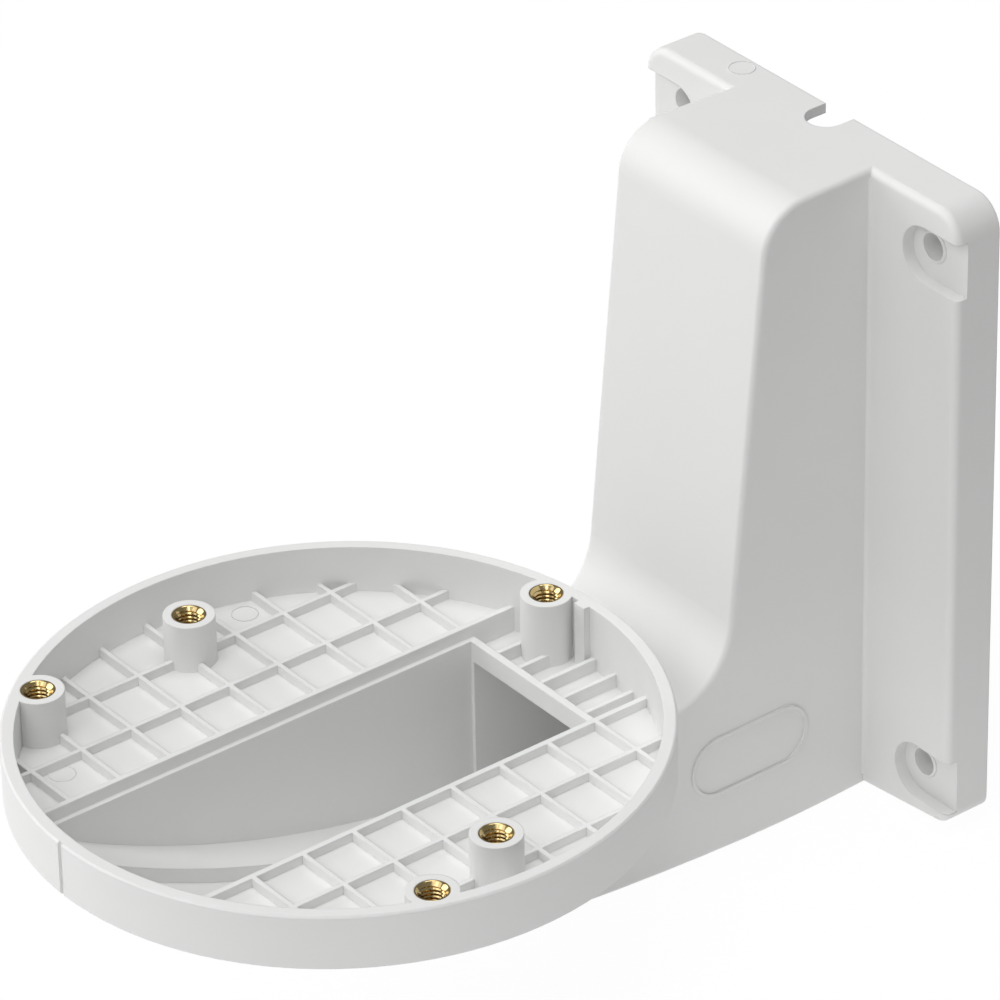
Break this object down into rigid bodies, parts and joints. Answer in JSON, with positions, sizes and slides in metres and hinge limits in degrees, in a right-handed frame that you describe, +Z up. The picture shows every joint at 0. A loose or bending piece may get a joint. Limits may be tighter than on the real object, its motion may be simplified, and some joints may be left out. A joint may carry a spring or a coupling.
{
  "type": "camera wall bracket",
  "caption": "White plastic wall bracket for a dome camera: ribbed round dish with brass threaded inserts, hollow arm with a cable slot, and a flanged wall plate.",
  "frame": {"origin": "centre of the four wall screw holes, on the back face that meets the wall", "axes": "+Z up along the wall, +Y into the wall, so the dish stands out towards -Y, and X across"},
  "size_m": [0.122, 0.1785, 0.1336],
  "materials": {
    "white_plastic": "matt, fine moulded texture",
    "brass": "turned, bright"
  },
  "bodies": {
    "root": {"bracket_body": "white_plastic", "insert_circle_front": "brass", "insert_circle_side": "brass", "insert_circle_back": "brass", "insert_pair_left": "brass", "insert_pair_right": "brass"}
  },
  "joints": []
}
